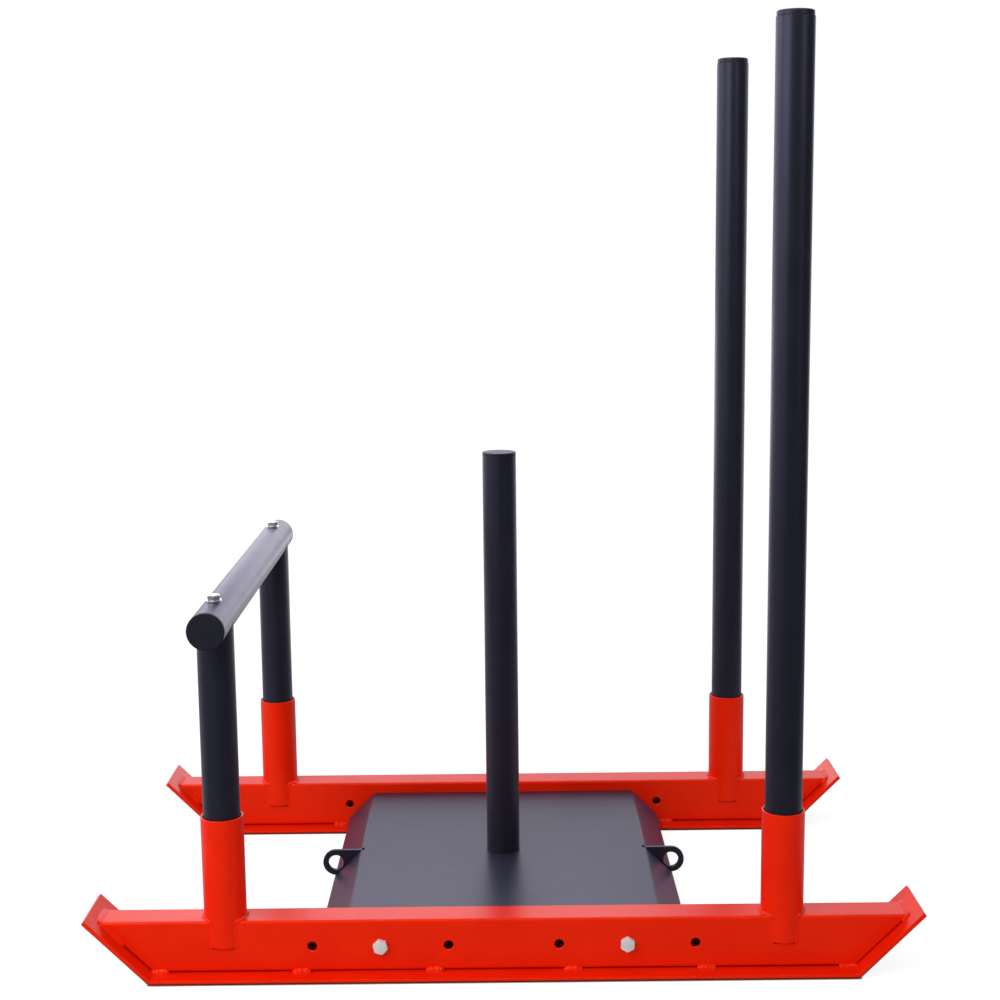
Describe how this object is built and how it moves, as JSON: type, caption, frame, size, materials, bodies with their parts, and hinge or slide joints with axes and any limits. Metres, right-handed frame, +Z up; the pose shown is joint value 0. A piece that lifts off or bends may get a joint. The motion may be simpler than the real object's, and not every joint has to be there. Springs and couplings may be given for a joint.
{
  "type": "weight sled",
  "caption": "Weight sled on skid runners with upturned ends, with a low bolted deck and plate post, tall push posts and a low push handle that stand in open sockets, and tow eyes.",
  "frame": {"origin": "on the floor, under the middle of the sled's length and width", "axes": "+Z up; +X along the runners to the tall posts, which is the rear; +Y to the right, as seen by someone who stands behind the tall posts and faces the low handle"},
  "size_m": [1.132, 0.726, 1.268],
  "materials": {
    "red_powder_coat": "satin red powder coat on steel",
    "black_powder_coat": "satin black powder coat on steel",
    "black_plastic": "moulded black end cap",
    "zinc_plate": "bright zinc plated steel"
  },
  "bodies": {
    "chassis": {"skid_shoe_left": "red_powder_coat", "skid_shoe_right": "red_powder_coat", "runner_beam_left": "red_powder_coat", "runner_beam_right": "red_powder_coat", "handle_socket_left": "red_powder_coat", "handle_socket_right": "red_powder_coat", "tall_post_socket_left": "red_powder_coat", "tall_post_socket_right": "red_powder_coat", "deck_plate": "black_powder_coat", "deck_cheek_left": "black_powder_coat", "deck_cheek_right": "black_powder_coat", "tow_eye_front": "black_powder_coat", "tow_eye_rear": "black_powder_coat", "centre_post": "black_powder_coat", "centre_post_cap": "black_plastic", "deck_bolt_left_front": "zinc_plate", "deck_bolt_left_rear": "zinc_plate", "deck_bolt_right_front": "zinc_plate", "deck_bolt_right_rear": "zinc_plate", "deck_nut_left_front": "zinc_plate", "deck_nut_left_rear": "zinc_plate", "deck_nut_right_front": "zinc_plate", "deck_nut_right_rear": "zinc_plate"},
    "left_tall_post": {"tall_post_left": "black_powder_coat", "tall_post_cap_left": "black_plastic"},
    "right_tall_post": {"tall_post_right": "black_powder_coat", "tall_post_cap_right": "black_plastic"},
    "push_handle": {"handle_post_left": "black_powder_coat", "handle_post_right": "black_powder_coat", "push_bar": "black_powder_coat", "push_bar_cap_left": "black_plastic", "push_bar_cap_right": "black_plastic", "bar_bolt_left": "zinc_plate", "bar_bolt_right": "zinc_plate", "bar_washer_left": "zinc_plate", "bar_washer_right": "zinc_plate", "bar_plug_left": "black_powder_coat", "bar_plug_right": "black_powder_coat"}
  },
  "joints": [
    {"name": "left_tall_post_lift", "type": "slide", "parent": "chassis", "child": "left_tall_post", "axis": [0, 0, 1], "range_m": [0, 0.2]},
    {"name": "right_tall_post_lift", "type": "slide", "parent": "chassis", "child": "right_tall_post", "axis": [0, 0, 1], "range_m": [0, 0.2]},
    {"name": "push_handle_lift", "type": "slide", "parent": "chassis", "child": "push_handle", "axis": [0, 0, 1], "range_m": [0, 0.2]}
  ]
}
